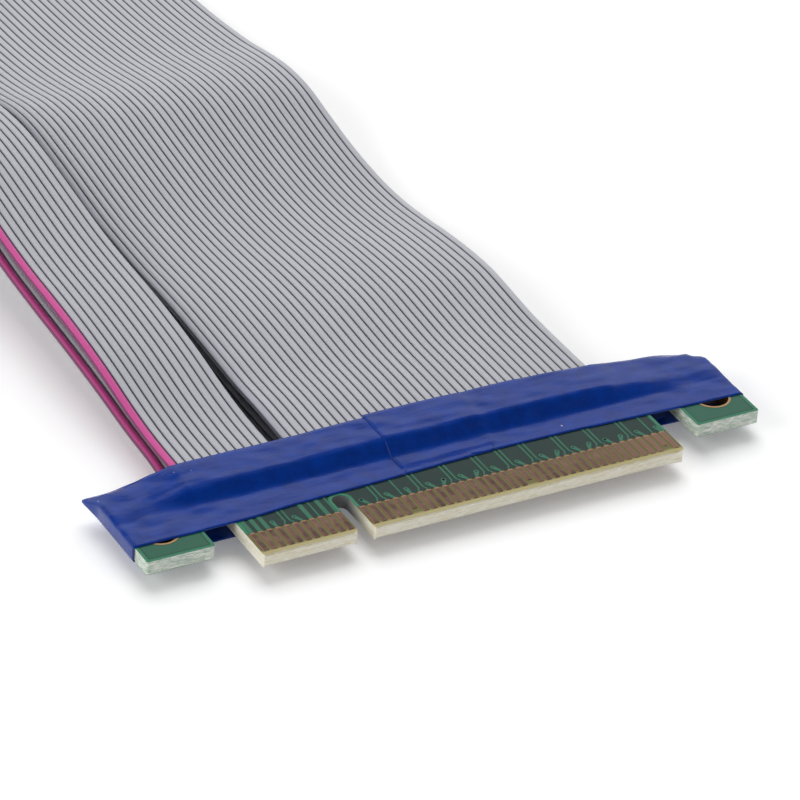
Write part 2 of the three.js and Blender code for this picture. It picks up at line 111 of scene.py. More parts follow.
# %% [markdown]
# Materials come from a colour function, because Blender mixes light in linear values and
# colours are easier to read as sRGB hex, and from one function that adds a node with its
# settings and links. Patterns read the object coordinates, turned back into millimetres
# from the key notch, so that a size in a material is a real size. Every finish here ends
# in a colour and a shallow bump, which one more function hands to its shader.

# %% Colours and nodes
def ink(code):
    """An sRGB hex colour as linear red, green, blue and alpha."""
    shares = [int(code[i:i + 2], 16) / 255 for i in (1, 3, 5)]
    return (*((s / 12.92 if s <= 0.04045 else ((s + 0.055) / 1.055) ** 2.4) for s in shares), 1)


def node(tree, kind, inputs=None, **settings):
    """Adds a node with its settings, and with each input a value, a socket or another node."""
    made = tree.nodes.new("ShaderNode" + kind)
    for name, value in settings.items():
        setattr(made, name, value)
    for name, value in (inputs or {}).items():
        if isinstance(value, bpy.types.Node):
            value = next(output for output in value.outputs if output.enabled)
        if isinstance(value, bpy.types.NodeSocket):
            tree.links.new(value, made.inputs[name])
        else:
            made.inputs[name].default_value = value
    return made


def finish(name, **sockets):
    """A new material, with plain values on its shader's sockets."""
    material = bpy.data.materials.new(name)
    material.use_nodes = True
    shader = material.node_tree.nodes["Principled BSDF"]
    for socket, value in sockets.items():
        shader.inputs[socket.replace("_", " ")].default_value = value
    return material, material.node_tree, shader


def surface(tree, shader, colour, height, strength, depth):
    """Gives a shader its colour, and a bump whose depth is in millimetres."""
    tree.links.new(colour.outputs[2], shader.inputs["Base Color"])
    bump = node(tree, "Bump", {"Strength": strength, "Distance": depth * MM,
                               "Height": height.outputs[0]})
    tree.links.new(bump.outputs[0], shader.inputs["Normal"])


def key_millimetres(tree):
    """Object coordinates as millimetres from the key notch."""
    place = node(tree, "TexCoord")
    return node(tree, "Mapping", {
        "Vector": place.outputs["Object"],
        "Location": -key_origin,
        "Scale": (1 / MM, 1 / MM, 1 / MM),
    })


print("a mid grey in linear:", round(ink("#808080")[0], 3))

# %% [markdown]
# Ribbon cable is a row of stranded wires whose soft PVC coats are joined edge to edge, so
# both faces are ribbed. A ribbon could be a plain strip with a bump map, but its edge and
# the arch that it lies in show real ribs, so the ribs are in the mesh: a ring of points
# round the section, repeated along the ribbon. Its route is the one the CAD tube follows.

# %% Ribbon sizes and routes
WIRE_PITCH = 1.0
RIBBON_THICKNESS = 0.9
NARROW_LEFT, NARROW_WIRES = -14.45, 12
WIDE_LEFT, WIDE_WIRES = -0.85, 38
EDGE_MOUTH = 13.2
RIBBON_START = 8.6
UPPER_ENTRY = 3.52
LOWER_ENTRY = 0.85
RISE_START = 18
RISE_END = 8
SLOT_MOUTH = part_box("slot_tape")[0].y / MM - key_origin.y
RIBBON_END = SLOT_MOUTH + EDGE_MOUTH - RIBBON_START

UPPER_REST, UPPER_RISE = 1.6, 2.6
LOWER_REST, LOWER_RISE = 0.5, 0.6


def whole_route(entry, rest, rise, free_points):
    """A route with its free points between its ends, which lie level under the two tapes."""
    edge_end = [(RIBBON_START, entry), (EDGE_MOUTH, entry)]
    slot_end = [(SLOT_MOUTH - RISE_START, rest), (SLOT_MOUTH - RISE_END, rise),
                (SLOT_MOUTH, entry), (RIBBON_END, entry)]
    return [*((y, z, z) for y, z in edge_end), *free_points, *((y, z, z) for y, z in slot_end)]


# Each point is y, then the height of the ribbon's middle at its right edge and its left edge.
upper_wide_route = whole_route(UPPER_ENTRY, UPPER_REST, UPPER_RISE, [
    (20, 3.45, 3.8), (25, 3.5, 3.8), (30, 3.9, 4.1), (35, 4.3, 4.4), (40, 4.05, 4.65),
    (45, 3.5, 4.7), (50, 2.75, 4.7), (55, 2.15, 4.9), (60, 2.0, 5.2), (65, 2.3, 5.8),
    (70, 2.95, 6.5), (75, 3.9, 7.1), (80, 4.9, 7.5), (85, 5.0, 7.1), (90, 4.35, 5.9),
    (95, 3.4, 4.9), (100, 2.75, 4.2), (106, 2.15, 3.65), (113, 1.75, 3.3), (122, 1.55, 2.9),
    (134, 1.5, 2.3), (150, 1.5, 1.7), (175, 1.5, 1.5), (200, 1.5, 1.5),
])
upper_narrow_route = whole_route(UPPER_ENTRY, UPPER_REST, UPPER_RISE, [
    (20, 3.75, 3.75), (25, 4.35, 4.4), (30, 5.2, 5.3), (35, 5.85, 6.0), (40, 6.3, 6.5),
    (45, 6.55, 6.85), (50, 6.75, 7.1), (55, 7.1, 7.6), (60, 7.75, 8.3), (65, 8.45, 9.1),
    (70, 9.1, 9.8), (76, 9.5, 10.1), (82, 9.1, 9.6), (88, 7.9, 8.2), (95, 6.2, 6.4),
    (103, 4.8, 4.9), (112, 3.7, 3.7), (122, 2.9, 2.9), (134, 2.2, 2.2), (150, 1.65, 1.65),
    (175, 1.5, 1.5), (200, 1.5, 1.5),
])
lower_wide_route = whole_route(LOWER_ENTRY, LOWER_REST, LOWER_RISE, [
    (20, 0.7, 0.7), (27, 0.8, 0.8), (35, 1.2, 1.4), (43, 1.3, 2.1), (50, 1.05, 2.7),
    (57, 0.85, 3.5), (65, 1.05, 4.5), (72, 1.9, 5.5), (80, 3.5, 6.2), (86, 3.7, 5.8),
    (92, 2.8, 4.4), (99, 1.7, 3.1), (107, 1.0, 2.4), (116, 0.6, 1.9), (134, 0.5, 1.2),
    (150, 0.5, 0.6), (175, 0.5, 0.5),
])
lower_narrow_route = whole_route(LOWER_ENTRY, LOWER_REST, LOWER_RISE, [
    (18, 1.5, 1.55), (24, 1.9, 1.95), (31, 2.65, 2.75), (39, 3.25, 3.45), (48, 3.6, 4.0),
    (57, 4.4, 4.8), (65, 5.9, 6.3), (72, 7.2, 7.7), (78, 7.8, 8.3), (84, 7.4, 7.8),
    (90, 6.1, 6.4), (97, 4.5, 4.7), (106, 3.2, 3.2), (116, 2.2, 2.2), (134, 1.1, 1.1),
    (150, 0.6, 0.6), (175, 0.5, 0.5),
])
print("ribbons run from y =", RIBBON_START, "to", round(RIBBON_END, 2), "mm")

# %% [markdown]
# The coat is extruded soft PVC. It has a soft sheen and fine lines along it from the die, and
# each groove, where two coats meet, is darkened by painted shade. The first wire of each
# narrow ribbon is pink, which tells the fitter which side is which. The mesh carries each
# point's place across the ribbon, in wires, so the grooves and the pink wire follow it.

# %% Extruded PVC
def extruded_pvc(name, first_wire):
    """Ribbed soft PVC, with the colour of its first wire and painted shade in its grooves."""
    material, tree, shader = finish(name, Roughness=0.42, IOR=1.53)
    across = node(tree, "Attribute", attribute_name="across")
    along = key_millimetres(tree)
    phase = node(tree, "Math", {0: across.outputs["Fac"]}, operation="FRACT")
    from_crest = node(tree, "Math", {0: phase, 1: 0.5}, operation="SUBTRACT")
    to_groove = node(tree, "Math", {0: from_crest}, operation="ABSOLUTE")
    # Painted shade: the colour darkens towards each groove between two wires.
    groove = node(tree, "MapRange", {0: to_groove, 1: 0.33, 2: 0.46},
                  interpolation_type="SMOOTHSTEP")
    stretched = node(tree, "Mapping", {"Vector": along, "Scale": (1.4, 0.06, 0.4)})
    drift = node(tree, "TexNoise", {"Vector": stretched, "Scale": 1.0, "Detail": 3.0})
    grey = node(tree, "Mix", {0: drift.outputs[0], 6: ink("#ADADB4"), 7: ink("#BEBEC4")},
                data_type="RGBA")
    is_first = node(tree, "Math", {0: across.outputs["Fac"], 1: 1.0}, operation="LESS_THAN")
    wire = node(tree, "Mix", {0: is_first, 6: grey, 7: ink(first_wire)}, data_type="RGBA")
    shade = node(tree, "Mix", {0: 1.0, 6: wire, 7: ink("#84848C")},
                 data_type="RGBA", blend_type="MULTIPLY")
    colour = node(tree, "Mix", {0: groove, 6: wire, 7: shade}, data_type="RGBA")
    die_lines = node(tree, "Mapping", {"Vector": along, "Scale": (9.0, 0.25, 9.0)})
    lines = node(tree, "TexNoise", {"Vector": die_lines, "Scale": 1.0, "Detail": 2.0})
    surface(tree, shader, colour, lines, strength=0.12, depth=0.04)
    return material


grey_pvc = extruded_pvc("extruded_grey_pvc", "#A9A9B2")
pink_edge_pvc = extruded_pvc("extruded_grey_pvc_pink_first_wire", "#CC5095")
print("materials:", grey_pvc.name, pink_edge_pvc.name)

# %% [markdown]
# A smooth line through the route's points keeps the arch free of corners. A curve with a
# bevel profile would sweep a section too, but it can't raise the ribbon's two edges by
# different heights. So the tube starts as a grid: one way goes round the section and the
# other along the ribbon. Welding its first column to its last closes it, and its two open
# ends are filled.

# %% Ribbons
RIB_FACETS = 8
STATION_SPACING = 2.0
GROOVE_SHARE = 0.2
RIB_ROUNDNESS = 0.85
WELD_DISTANCE = 1e-5


def smooth_line(knots, values, at):
    """Values on a smooth line through the knots."""
    slopes = np.gradient(values, knots)
    i = np.clip(np.searchsorted(knots, at) - 1, 0, len(knots) - 2)
    span = knots[i + 1] - knots[i]
    t = (at - knots[i]) / span
    start = (2 * t**3 - 3 * t**2 + 1) * values[i] + (t**3 - 2 * t**2 + t) * span * slopes[i]
    end = (3 * t**2 - 2 * t**3) * values[i + 1] + (t**3 - t**2) * span * slopes[i + 1]
    return start + end


def ribbed_section(wires):
    """Round a ribbon: places across, in wires, and up, in half thicknesses."""
    turn = np.arange(RIB_FACETS) * math.pi / RIB_FACETS
    across = np.concatenate([w + 0.5 - 0.5 * np.cos(turn) for w in range(wires)] + [[wires]])
    rib = np.tile(np.sin(turn), wires) ** RIB_ROUNDNESS
    up = np.append(GROOVE_SHARE + (1 - GROOVE_SHARE) * rib, 0)
    # The outer half of each edge wire goes down to the middle, so the edges are round.
    outer = RIB_FACETS // 2
    up[:outer] = rib[:outer]
    up[-outer - 1:-1] = rib[-outer:]
    return np.concatenate([across, across[-2:0:-1]]), np.concatenate([up, -up[-2:0:-1]])


def tube_from_grid(around, along, shape, closed=True):
    """A tube from a grid: shape gives the places of ring points i at stations j."""
    bm = bmesh.new()
    bmesh.ops.create_grid(bm, x_segments=around, y_segments=along, size=1)
    flat = np.array([corner.co[:] for corner in bm.verts])
    i = np.rint((flat[:, 0] + 1) / 2 * around).astype(int)
    j = np.rint((flat[:, 1] + 1) / 2 * along).astype(int)
    for corner, place in zip(bm.verts, shape(i % around if closed else i, j)):
        corner.co = place
    return bm, i, j


def ribbon(name, left, wires, route, material):
    """A ribbed ribbon along its route."""
    across, up = ribbed_section(wires)
    knots, right_heights, left_heights = np.array(route, float).T
    count = round((knots[-1] - knots[0]) / STATION_SPACING)
    stations = np.linspace(knots[0], knots[-1], count + 1)
    right = smooth_line(knots, right_heights, stations)
    left_side = smooth_line(knots, left_heights, stations)
    right_climb, left_climb = np.gradient(right, stations), np.gradient(left_side, stations)

    def shape(i, j):
        share = 1 - across[i] / wires
        middle = right[j] + (left_side[j] - right[j]) * share
        climb = right_climb[j] * (1 - share) + left_climb[j] * share
        lift = up[i] * RIBBON_THICKNESS / 2 / np.hypot(1, climb)
        return np.stack([left + across[i] * WIRE_PITCH, stations[j] - climb * lift, middle + lift], 1)

    bm, i, j = tube_from_grid(len(across), count, shape)
    layer = bm.verts.layers.float.new("across")
    for corner, ring_point in zip(bm.verts, i % len(across)):
        corner[layer] = across[ring_point]
    bmesh.ops.remove_doubles(bm, verts=bm.verts, dist=WELD_DISTANCE)
    bmesh.ops.holes_fill(bm, edges=[e for e in bm.edges if e.is_boundary], sides=0)
    bmesh.ops.recalc_face_normals(bm, faces=bm.faces)
    piece = settle(bm, name + "_pvc", [material], smooth=True, replaces=[name])


ribbon("upper_wide_ribbon", WIDE_LEFT, WIDE_WIRES, upper_wide_route, grey_pvc)
ribbon("upper_narrow_ribbon", NARROW_LEFT, NARROW_WIRES, upper_narrow_route, pink_edge_pvc)
ribbon("lower_wide_ribbon", WIDE_LEFT, WIDE_WIRES, lower_wide_route, grey_pvc)
ribbon("lower_narrow_ribbon", NARROW_LEFT, NARROW_WIRES, lower_narrow_route, pink_edge_pvc)

# %% [markdown]
# A circuit board is a sheet of glass-fibre laminate. Where it was routed or sawn, the cut
# shows cream epoxy with pale streaks of glass cloth, about 0.15 mm to a layer. Seen from
# above, bare laminate between the contacts looks olive, because the epoxy is yellow and
# lets light through. Under the green coat the cut of the ears takes a grey-green tone, and
# deep in the key notch the cut is painted a darker grey as shade. The board could have a material for each
# of these, but then each would need its own faces. One material tells cut from face by the
# way the surface points, and noise squeezed to a layer's height draws the streaks.

# %% Cut laminate
CLOTH_LAYER = 0.15
# Places that tell a board's parts apart: the ears lie beyond the first two along x, the
# notch within the third on both sides of x = 0, the edge board before the fourth along y.
EAR_ZONE_LEFT, EAR_ZONE_RIGHT = -14, 41
NOTCH_ZONE = 1.05
EDGE_BOARD_ZONE = 10


def on_the_ears(tree, sides):
    """1 at the two ends of a board, where its ears are, and 0 between them."""
    left = node(tree, "Math", {0: sides.outputs[0], 1: EAR_ZONE_LEFT}, operation="LESS_THAN")
    right = node(tree, "Math", {0: sides.outputs[0], 1: EAR_ZONE_RIGHT}, operation="GREATER_THAN")
    return node(tree, "Math", {0: left, 1: right}, operation="MAXIMUM")


def cut_laminate():
    """Glass-fibre laminate: streaky cream on its cuts, painted darker as shade in the key notch, and olive
    on its bare face.
    """
    material, tree, shader = finish("cut_glass_fibre_laminate", Roughness=0.6, IOR=1.5)
    place = key_millimetres(tree)
    sides = node(tree, "SeparateXYZ", {0: place})
    facing = node(tree, "SeparateXYZ", {0: node(tree, "NewGeometry").outputs["Normal"]})
    layers = node(tree, "Mapping", {"Vector": place, "Scale": (0.22, 0.22, 1 / CLOTH_LAYER)})
    streaks = node(tree, "TexNoise", {"Vector": layers, "Scale": 1.0, "Detail": 3.0, "Roughness": 0.6})
    streak = node(tree, "MapRange", {0: streaks.outputs[0], 1: 0.3, 2: 0.72})
    cream = node(tree, "Mix", {0: streak, 6: ink("#D8CFAB"), 7: ink("#F3EEDD")}, data_type="RGBA")
    green_cut = node(tree, "Mix", {0: streak, 6: ink("#93AC99"), 7: ink("#C6D2C6")}, data_type="RGBA")
    cut = node(tree, "Mix", {0: on_the_ears(tree, sides), 6: cream, 7: green_cut}, data_type="RGBA")
    near_front = node(tree, "MapRange", {0: sides.outputs[1], 1: -3.2, 2: -3.75})
    drawn = node(tree, "Mapping", {"Vector": place, "Scale": (1.3, 1.3, 5.0)})
    fibres = node(tree, "TexNoise", {"Vector": drawn, "Scale": 1.0, "Detail": 4.0, "Roughness": 0.7})
    fibre = node(tree, "MapRange", {0: fibres.outputs[0], 1: 0.42, 2: 0.7})
    cut = node(tree, "Mix", {0: fibre, 6: cut.outputs[2], 7: ink("#F4F3EA")}, data_type="RGBA")
    from_notch = node(tree, "Math", {0: sides.outputs[0]}, operation="ABSOLUTE")
    in_notch = node(tree, "Math", {0: from_notch, 1: NOTCH_ZONE}, operation="LESS_THAN")
    on_edge_board = node(tree, "Math", {0: sides.outputs[1], 1: EDGE_BOARD_ZONE},
                         operation="LESS_THAN")
    # Painted shade: in the key notch of the edge board, the cut darkens towards the notch's rear end.
    depth = node(tree, "MapRange", {0: sides.outputs[1], 1: -3.0, 2: 2.0})
    notch_shade = node(tree, "Math", {0: in_notch, 1: on_edge_board}, operation="MULTIPLY")
    notch_shade = node(tree, "Math", {0: notch_shade, 1: depth}, operation="MULTIPLY")
    cut = node(tree, "Mix", {0: notch_shade, 6: cut.outputs[2], 7: ink("#6A6E6F")}, data_type="RGBA")
    face = node(tree, "Mix", {0: near_front, 6: ink("#6F6A42"), 7: ink("#B9AD7C")}, data_type="RGBA")
    up_or_down = node(tree, "Math", {0: facing.outputs[2]}, operation="ABSOLUTE")
    on_face = node(tree, "MapRange", {0: up_or_down, 1: 0.55, 2: 0.9})
    colour = node(tree, "Mix", {0: on_face, 6: cut.outputs[2], 7: face}, data_type="RGBA")
    surface(tree, shader, colour, streaks, strength=0.25, depth=0.04)
    return material


laminate = cut_laminate()
print("cut laminate, with a layer of cloth every", CLOTH_LAYER, "mm")

# %% [markdown]
# The board's outline has few corners: two tabs with the key notch between them, and an ear
# at each end for a screw. Tabs and gaps could be cut from a box with booleans, but an
# outline is easier to read and keeps its corners clean. It is a face from those corners.
# Each corner is rounded by a bevel of its one vertex, the screw holes are circles that the
# fill goes round, and the face is then pulled up to the board's thickness. The tabs' front
# edges are bevelled so that the board slides into its socket.

# %% Board outline
BOARD_BOTTOM = 1.4
BOARD_TOP = 2.97
TAB_FRONT = -4.1
EAR_FRONT = -0.5
KEY_END = 2.8
KEY_HALF = 0.95
BOARD_REAR = 12.2
BOARD_LEFT, LEFT_EAR_RIGHT, SHORT_TAB_LEFT = -23.85, -15.95, -12.15
LONG_TAB_RIGHT, RIGHT_EAR_LEFT, BOARD_RIGHT = 39.15, 42.95, 50.85
HOLE_RADIUS = 1.9
TAB_CHAMFER = 0.35
# Hidden under the tape, which pinches together round the rear corners
GAP_END = 6.6
HIDDEN_CORNER = 3.0
EDGE_HOLES = [(-20.35, 3.75), (47.35, 3.75)]


def card_edge_corners(tab_front):
    """Corners [x, y, radius] of the board, with its tabs cut off at tab_front."""
    return [
        [BOARD_LEFT, EAR_FRONT, 0.2],
        [LEFT_EAR_RIGHT, EAR_FRONT, 0.3],
        [LEFT_EAR_RIGHT, GAP_END, 1.0],
        [SHORT_TAB_LEFT, GAP_END, 1.0],
        [SHORT_TAB_LEFT, tab_front, 0.25],
        [-KEY_HALF, tab_front, 0.5],
        [-KEY_HALF, KEY_END, 0.94],
        [KEY_HALF, KEY_END, 0.94],
        [KEY_HALF, tab_front, 0.25],
        [LONG_TAB_RIGHT, tab_front, 0.6],
        [LONG_TAB_RIGHT, GAP_END, 1.0],
        [RIGHT_EAR_LEFT, GAP_END, 1.0],
        [RIGHT_EAR_LEFT, EAR_FRONT, 0.3],
        [BOARD_RIGHT, EAR_FRONT, 0.2],
        [BOARD_RIGHT, BOARD_REAR, HIDDEN_CORNER],
        [BOARD_LEFT, BOARD_REAR, HIDDEN_CORNER],
    ]


def add_outline(bm, corners, level):
    """The edges of an outline with rounded corners."""
    points = [bm.verts.new((x, y, level)) for x, y, _ in corners]
    bm.faces.new(points)
    for point, (_, _, corner_radius) in zip(points, corners):
        bmesh.ops.bevel(bm, geom=[point], offset=corner_radius, affect="VERTICES", segments=6,
                        profile=0.5, material=-1)
    bmesh.ops.delete(bm, geom=list(bm.faces), context="FACES_ONLY")


def flat_face(outlines, holes, level, radius=HOLE_RADIUS):
    """A flat face at a level between its outlines, with round holes."""
    bm = bmesh.new()
    for corners in outlines:
        add_outline(bm, corners, level)
    for x, y in holes:
        bmesh.ops.create_circle(bm, segments=48, radius=radius,
                                matrix=Matrix.Translation((x, y, level)))
    bmesh.ops.triangle_fill(bm, edges=bm.edges, use_beauty=True, normal=(0, 0, 1))
    return bm


def pull(bm, faces, by):
    """Pulls faces out along a vector, so that they become a solid."""
    pulled = bmesh.ops.extrude_face_region(bm, geom=faces)
    moved = [part for part in pulled["geom"] if isinstance(part, bmesh.types.BMVert)]
    bmesh.ops.translate(bm, verts=moved, vec=by)


def thicken(bm, thickness):
    """Pulls every face up by a thickness, as a closed plate."""
    pull(bm, list(bm.faces), (0, 0, thickness))
    bmesh.ops.recalc_face_normals(bm, faces=bm.faces)


def bevel_edges(bm, edges, width, segments):
    """Rounds edges off by a width."""
    bmesh.ops.bevel(bm, geom=edges, offset=width, affect="EDGES", segments=segments,
                    profile=0.5, material=-1)


bm = flat_face([card_edge_corners(TAB_FRONT)], EDGE_HOLES, BOARD_BOTTOM)
thicken(bm, BOARD_TOP - BOARD_BOTTOM)
front_edges = [e for e in bm.edges if all(abs(v.co.y - TAB_FRONT) < 0.01 for v in e.verts)
               and abs(e.verts[0].co.z - e.verts[1].co.z) < 0.01]
bevel_edges(bm, front_edges, TAB_CHAMFER, 3)
settle(bm, "edge_laminate", [laminate], replaces=["edge_board"])

# %% [markdown]
# Solder mask is a glossy lacquer, dark green where only laminate lies under it and lighter
# over copper. Along the routed edges light comes in through the laminate, so the outermost
# half millimetre glows a brighter green, and a dark line marks where the ears' copper ends.
# A material can't draw such a border well, because it doesn't know the outline. So the
# sheet is the board's outline once more, and the same outline, moved inwards twice, divides
# it into a rim, a line and a field, each a thin plate with its own finish. On the tabs a
# cut along y = 0 ends them at the contacts.

# %% Solder mask
RIM_WIDTH = 0.38
LINE_WIDTH = 0.13
MASK_THICKNESS = 0.03
MASK_OVERHANG = 1.5
MASK_FROM_HOLE = 0.2
SHARPEST_CORNER = 0.05


def solder_mask(name, colour, pour=None):
    """Glossy green lacquer, with the colour over the ears' copper if it has any."""
    material, tree, shader = finish(name, Roughness=0.3, IOR=1.5)
    place = key_millimetres(tree)
    cloud = node(tree, "TexNoise", {"Vector": place, "Scale": 0.8, "Detail": 3.0})
    deep = node(tree, "Mix", {0: 1.0, 6: ink(colour), 7: ink("#E3E3E3")},
                data_type="RGBA", blend_type="MULTIPLY")
    made = node(tree, "Mix", {0: cloud.outputs[0], 6: deep, 7: ink(colour)}, data_type="RGBA")
    if pour:
        sides = node(tree, "SeparateXYZ", {0: place})
        made = node(tree, "Mix", {0: on_the_ears(tree, sides), 6: made, 7: ink(pour)},
                    data_type="RGBA")
    peel = node(tree, "TexNoise", {"Vector": place, "Scale": 3.0, "Detail": 2.0})
    surface(tree, shader, made, peel, strength=0.1, depth=0.02)
    return material


mask_rim = solder_mask("solder_mask_rim", "#2A7D5B")
mask_line = solder_mask("solder_mask_line", "#0C3A2F")
mask_field = solder_mask("solder_mask_over_laminate", "#0A2F28", pour="#1D5B45")
mask_copper = solder_mask("solder_mask_over_copper", "#2A6E53")


def inset_corners(corners, width):
    """The corners of the same outline, moved inwards by a width."""
    moved = []
    for i, (x, y, radius) in enumerate(corners):
        before, after = corners[i - 1], corners[(i + 1) % len(corners)]
        coming = Vector((x - before[0], y - before[1])).normalized()
        going = Vector((after[0] - x, after[1] - y)).normalized()
        turn = coming.x * going.y - coming.y * going.x
        moved.append([x - width * (coming.y + going.y), y + width * (coming.x + going.x),
                      max(radius - width * turn, SHARPEST_CORNER)])
    return moved


def mask_sheet(name, corners, holes, level, cut):
    """A sheet of mask in three parts: its rim, its dark line and its field."""
    line_start = inset_corners(corners, RIM_WIDTH)
    line_end = inset_corners(corners, RIM_WIDTH + LINE_WIDTH)
    parts = [("rim", [corners, line_start], [], mask_rim),
             ("line", [line_start, line_end], [], mask_line),
             ("field", [line_end], holes, mask_field)]
    for part, outlines, part_holes, material in parts:
        bm = flat_face(outlines, part_holes, level, radius=HOLE_RADIUS + MASK_FROM_HOLE)
        if cut:
            front = [f for f in bm.faces if min(v.co.y for v in f.verts) < EAR_FRONT - 0.01]
            around = {p for f in front for p in (f, *f.edges, *f.verts)}
            bmesh.ops.bisect_plane(bm, geom=list(around), plane_co=(0, 0, 0), plane_no=(0, -1, 0),
                                   clear_outer=True)
        thicken(bm, MASK_THICKNESS)
        settle(bm, f"{name}_{part}", [material])


mask_sheet("edge_mask_top", card_edge_corners(-MASK_OVERHANG), EDGE_HOLES, BOARD_TOP, True)
mask_sheet("edge_mask_bottom", card_edge_corners(-MASK_OVERHANG), EDGE_HOLES,
           BOARD_BOTTOM - MASK_THICKNESS, True)

# %% [markdown]
# Behind the contacts run the tracks. Signal tracks go back in pairs, each with a small jog
# at its contact, supply tracks are wide, and each ground contact has a pad with a drilled
# hole just behind it. A material could draw them, but copper stands up under the mask and
# its edges catch the light, so each track is a low bar and each pad a low plate. One
# letter for each contact says which it has: p for one of a pair,
# s for a single track, w for a wide one, v and V for a pad half a pitch to the left or the
# right, and c for a pad straight behind. Mask covers most of the holes, and three are open.

# %% Tracks and pads
SHORT_TAB_TRACKS = "wwwcppvwsws"
LONG_TAB_TRACKS = ".vppvscppvVppvVppvppvppvVppvVppvVppvsc"
KEY_TO_CONTACT = 1.5
CONTACT_PITCH = 1.0
TRACK_WIDTH, WIDE_TRACK_WIDTH = 0.2, 0.52
TRACK_LIFT = 0.02
TRACK_END = 6.0
PAIR_INSET = 0.22
PAD_RADIUS, PAD_BEHIND, DRILL_RADIUS = 0.3, 1.0, 0.09
OPEN_DRILLS, OPEN_DRILL_RADIUS = (12, 21, 42), 0.17
PAD_FOOT_HALF = 0.16
DRILL_HEIGHT = 0.02
mask_top = BOARD_TOP + MASK_THICKNESS
contacts = [-KEY_TO_CONTACT - i * CONTACT_PITCH for i in range(len(SHORT_TAB_TRACKS))][::-1]
contacts += [KEY_TO_CONTACT + i * CONTACT_PITCH for i in range(len(LONG_TAB_TRACKS))]


def flat_track(bm, points, width, level, height):
    """A track of one width through points [x, y], as a closed low bar."""
    rights = [bm.verts.new((x + width / 2, y, level)) for x, y in points]
    lefts = [bm.verts.new((x - width / 2, y, level)) for x, y in reversed(points)]
    pull(bm, [bm.faces.new(rights + lefts)], (0, 0, height))


def drop_pad(bm, x, y, foot_x, level, height):
    """A round pad drawn out to its contact: the hull of a disc and a short foot."""
    disc = bmesh.ops.create_cone(bm, cap_ends=True, segments=20, radius1=PAD_RADIUS,
                                 radius2=PAD_RADIUS, depth=height,
                                 matrix=Matrix.Translation((x, y, level + height / 2)))
    foot = [bm.verts.new((foot_x + side * PAD_FOOT_HALF, 0, level + up))
            for side in (-1, 1) for up in (0, height)]
    hull = bmesh.ops.convex_hull(bm, input=disc["verts"] + foot)
    spare = hull["geom_interior"] + hull["geom_unused"]
    spare = [part for part in spare if isinstance(part, bmesh.types.BMVert)]
    bmesh.ops.delete(bm, geom=spare, context="VERTS")


def tracks_and_pads():
    """Raised tracks and pads behind the contacts, and black discs on the pads, painted shadow for their
    drilled holes.
    """
    copper = bmesh.new()
    drills = bmesh.new()
    kinds = SHORT_TAB_TRACKS + LONG_TAB_TRACKS
    for i, (x, kind) in enumerate(zip(contacts, kinds)):
        if kind == "w":
            flat_track(copper, [(x, 0), (x, TRACK_END)], WIDE_TRACK_WIDTH, mask_top, TRACK_LIFT)
        elif kind in "ps":
            first_of_pair = kinds[:i].count("p") % 2 == 0
            inset = 0 if kind == "s" else PAIR_INSET if first_of_pair else -PAIR_INSET
            route = [(x, 0), (x, 0.3), (x + inset, 0.62), (x + inset, TRACK_END)]
            flat_track(copper, route, TRACK_WIDTH, mask_top, TRACK_LIFT)
        elif kind in "vVc":
            pad_x = x + {"v": -0.5, "V": 0.45, "c": -0.1}[kind] * CONTACT_PITCH
            drop_pad(copper, pad_x, PAD_BEHIND, x, mask_top, TRACK_LIFT)
            # Each drilled hole is a thin black disc on its pad, painted shadow standing in for the hole.
            radius = OPEN_DRILL_RADIUS if i in OPEN_DRILLS else DRILL_RADIUS
            place = Matrix.Translation((pad_x, PAD_BEHIND, mask_top + TRACK_LIFT))
            bmesh.ops.create_cone(drills, cap_ends=True, segments=12, radius1=radius,
                                  radius2=radius, depth=DRILL_HEIGHT, matrix=place)
    bmesh.ops.recalc_face_normals(copper, faces=copper.faces)
    return copper, drills


black_hole, _, _ = finish("drilled_hole_shadow", Base_Color=ink("#0B100E"), Roughness=0.8)
copper, drills = tracks_and_pads()
settle(copper, "edge_tracks", [mask_copper])
settle(drills, "edge_drilled_holes", [black_hole])

# %% [markdown]
# The contacts are copper with a thin flash of nickel and gold. Cheap plating tarnishes, so
# they look brown, with a painted highlight: a brighter orange line along the left and rear
# edge of each contact. They could be one strip with stripes painted on it, but the gaps between them are
# real steps, so each one is a low bar, and its edges are bevelled because a sharp edge
# catches no light. A contact that tells the socket that the card is fully in is shorter
# than its neighbours.

# %% Contacts
CONTACT_WIDTH, CONTACT_LENGTH, CONTACT_LIFT = 0.62, 3.4, 0.06
CONTACT_BEVEL = 0.025
SHORT_BY = 0.8
SHORT_ON_TOP, SHORT_BELOW = (16, 30, 47), (0,)
RING_THICKNESS, RING_WIDTH, RING_LIFT = 0.04, 0.22, 0.06


